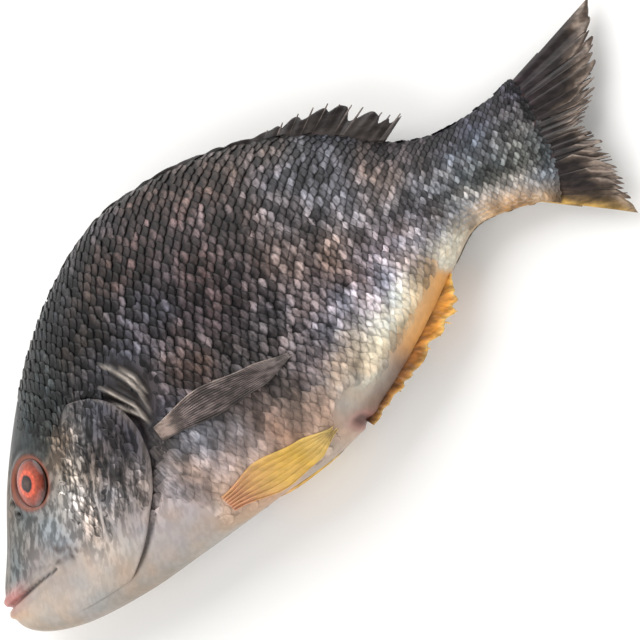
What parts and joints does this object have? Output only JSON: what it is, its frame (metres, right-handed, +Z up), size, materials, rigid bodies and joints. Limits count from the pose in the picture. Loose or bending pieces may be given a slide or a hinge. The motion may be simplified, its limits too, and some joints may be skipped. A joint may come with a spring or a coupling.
{
  "type": "whole raw sea bream",
  "caption": "Whole raw deep-bodied fish lying on its side, with scaled skin, gill covers, round red-ringed eyes, folded side fins and a forked tail.",
  "frame": {"origin": "middle of the foot of the bounding box, on the surface the fish lies on", "axes": "-X towards the snout, +X towards the tail, +Y towards the fish's back, +Z up through the left flank"},
  "size_m": [0.2922, 0.1208, 0.0396],
  "materials": {
    "skin": "wet scaled fish skin: near-black back, grey-brown flank, silver and cream belly, glossy with slime",
    "gill_cover": "wet silvery skin over bone with dark mottling",
    "eye": "clear wet cornea over a red-orange iris and a dark pupil",
    "dark_fin": "wet dark grey-brown fin rays and membrane",
    "yellow_fin": "wet yellow-orange fin rays and membrane",
    "pectoral_fin": "wet thin tan-grey membrane over fine rays"
  },
  "bodies": {
    "root": {"body": "skin", "left_gill_cover": "gill_cover", "right_gill_cover": "gill_cover", "left_eye": "eye", "right_eye": "eye", "left_pectoral_fin": "pectoral_fin", "right_pectoral_fin": "pectoral_fin", "left_pelvic_fin": "yellow_fin", "right_pelvic_fin": "yellow_fin", "dorsal_fin": "dark_fin", "anal_fin": "yellow_fin", "tail_fin": "dark_fin"}
  },
  "joints": []
}
